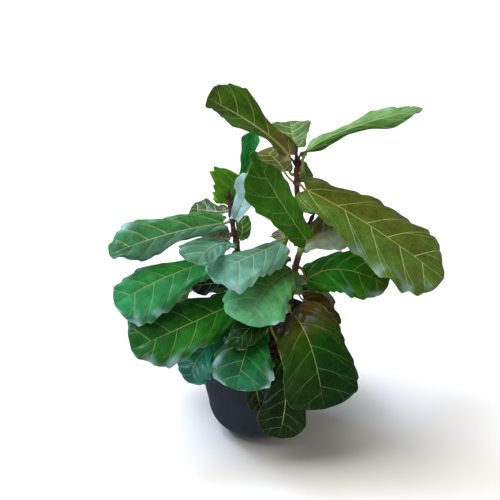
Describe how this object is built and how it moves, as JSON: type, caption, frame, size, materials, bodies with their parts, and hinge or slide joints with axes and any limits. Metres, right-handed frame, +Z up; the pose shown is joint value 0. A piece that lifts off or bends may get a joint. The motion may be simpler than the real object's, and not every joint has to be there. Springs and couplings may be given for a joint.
{
  "type": "potted fiddle leaf fig",
  "caption": "Bushy fig plant in a round dark planter: upright woody stems carry large, broad, wavy leaves with pale veins, drooping over the rim.",
  "frame": {"origin": "centre of the planter's flat foot, where it stands on the floor", "axes": "+Z up through the planter and the plant, +X to the plant's right as seen from the front, +Y to its back"},
  "size_m": [0.6022, 0.3514, 0.688],
  "materials": {
    "pot": "satin",
    "soil": "matte",
    "bark": "matte",
    "bud": "satin",
    "leaf": "satin",
    "young_leaf": "satin"
  },
  "bodies": {
    "root": {"pot": "pot", "soil": "soil", "stem_main": "bark", "bud_main": "bud", "stem_left": "bark", "bud_left": "bud", "stem_middle": "bark", "bud_middle": "bud", "leaf_top_left": "leaf", "leaf_top_right": "leaf", "leaf_crown_back": "young_leaf", "leaf_crown_left": "leaf", "leaf_crown_right": "young_leaf", "leaf_big_right": "leaf", "leaf_upright_centre": "leaf", "leaf_right_lower": "leaf", "leaf_right_tucked": "leaf", "leaf_hanging_front_right": "leaf", "leaf_centre_upper": "leaf", "leaf_centre_lower": "leaf", "leaf_left_folded": "leaf", "leaf_left_long": "leaf", "leaf_left_broad": "leaf", "leaf_left_low": "leaf", "leaf_centre_tucked": "leaf", "leaf_hanging_front_left": "leaf", "leaf_front_left_small": "leaf", "leaf_hanging_front": "leaf", "leaf_front_narrow": "leaf", "leaf_young_lobed": "young_leaf", "leaf_young_pale": "young_leaf", "leaf_young_upright": "young_leaf", "leaf_left_behind": "leaf", "leaf_left_inner": "leaf", "leaf_left_inner_small": "leaf", "leaf_right_inner": "leaf", "leaf_middle_inner": "leaf", "leaf_left_shaded": "leaf", "leaf_back_right_high": "leaf", "leaf_back_left_high": "leaf", "leaf_back_centre_high": "leaf", "leaf_back_right_low": "leaf", "leaf_back_left_low": "leaf", "leaf_back_centre_low": "leaf"}
  },
  "joints": []
}
